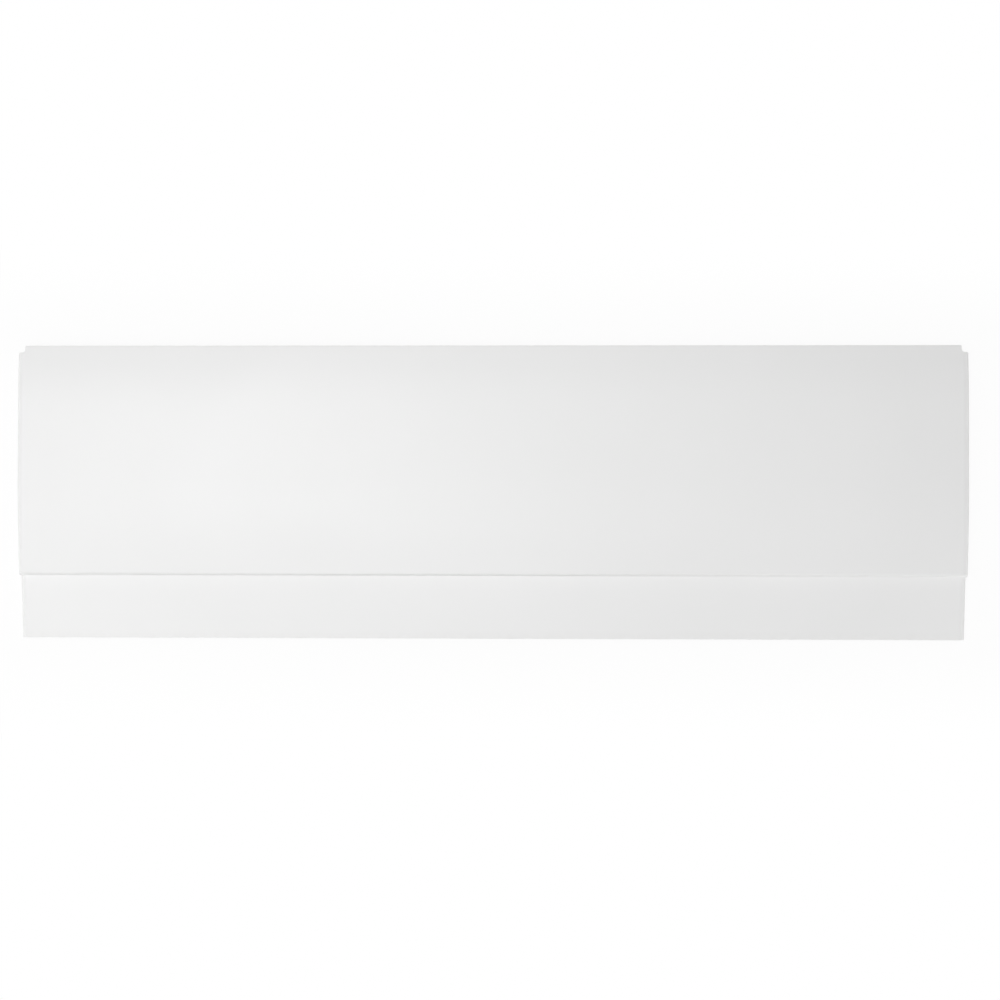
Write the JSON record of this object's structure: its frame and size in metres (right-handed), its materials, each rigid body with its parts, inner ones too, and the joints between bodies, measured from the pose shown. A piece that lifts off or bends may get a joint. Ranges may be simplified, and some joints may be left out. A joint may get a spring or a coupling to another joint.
{
  "type": "bath panel",
  "caption": "Long white moulded bath front panel: gently bowed face, recessed plinth along the foot, rounded end returns and a notched lip along the top; it hides the underside of a bath.",
  "frame": {"origin": "under the middle of the panel, in the plane of the two trimmed end returns that it lies on", "axes": "+X along the length, to the right as seen from the front; +Y from the plinth to the top lip; +Z out of the front face"},
  "size_m": [1.7, 0.525, 0.05],
  "materials": {
    "white_acrylic": "gloss"
  },
  "bodies": {
    "root": {"bath_panel": "white_acrylic"}
  },
  "joints": []
}
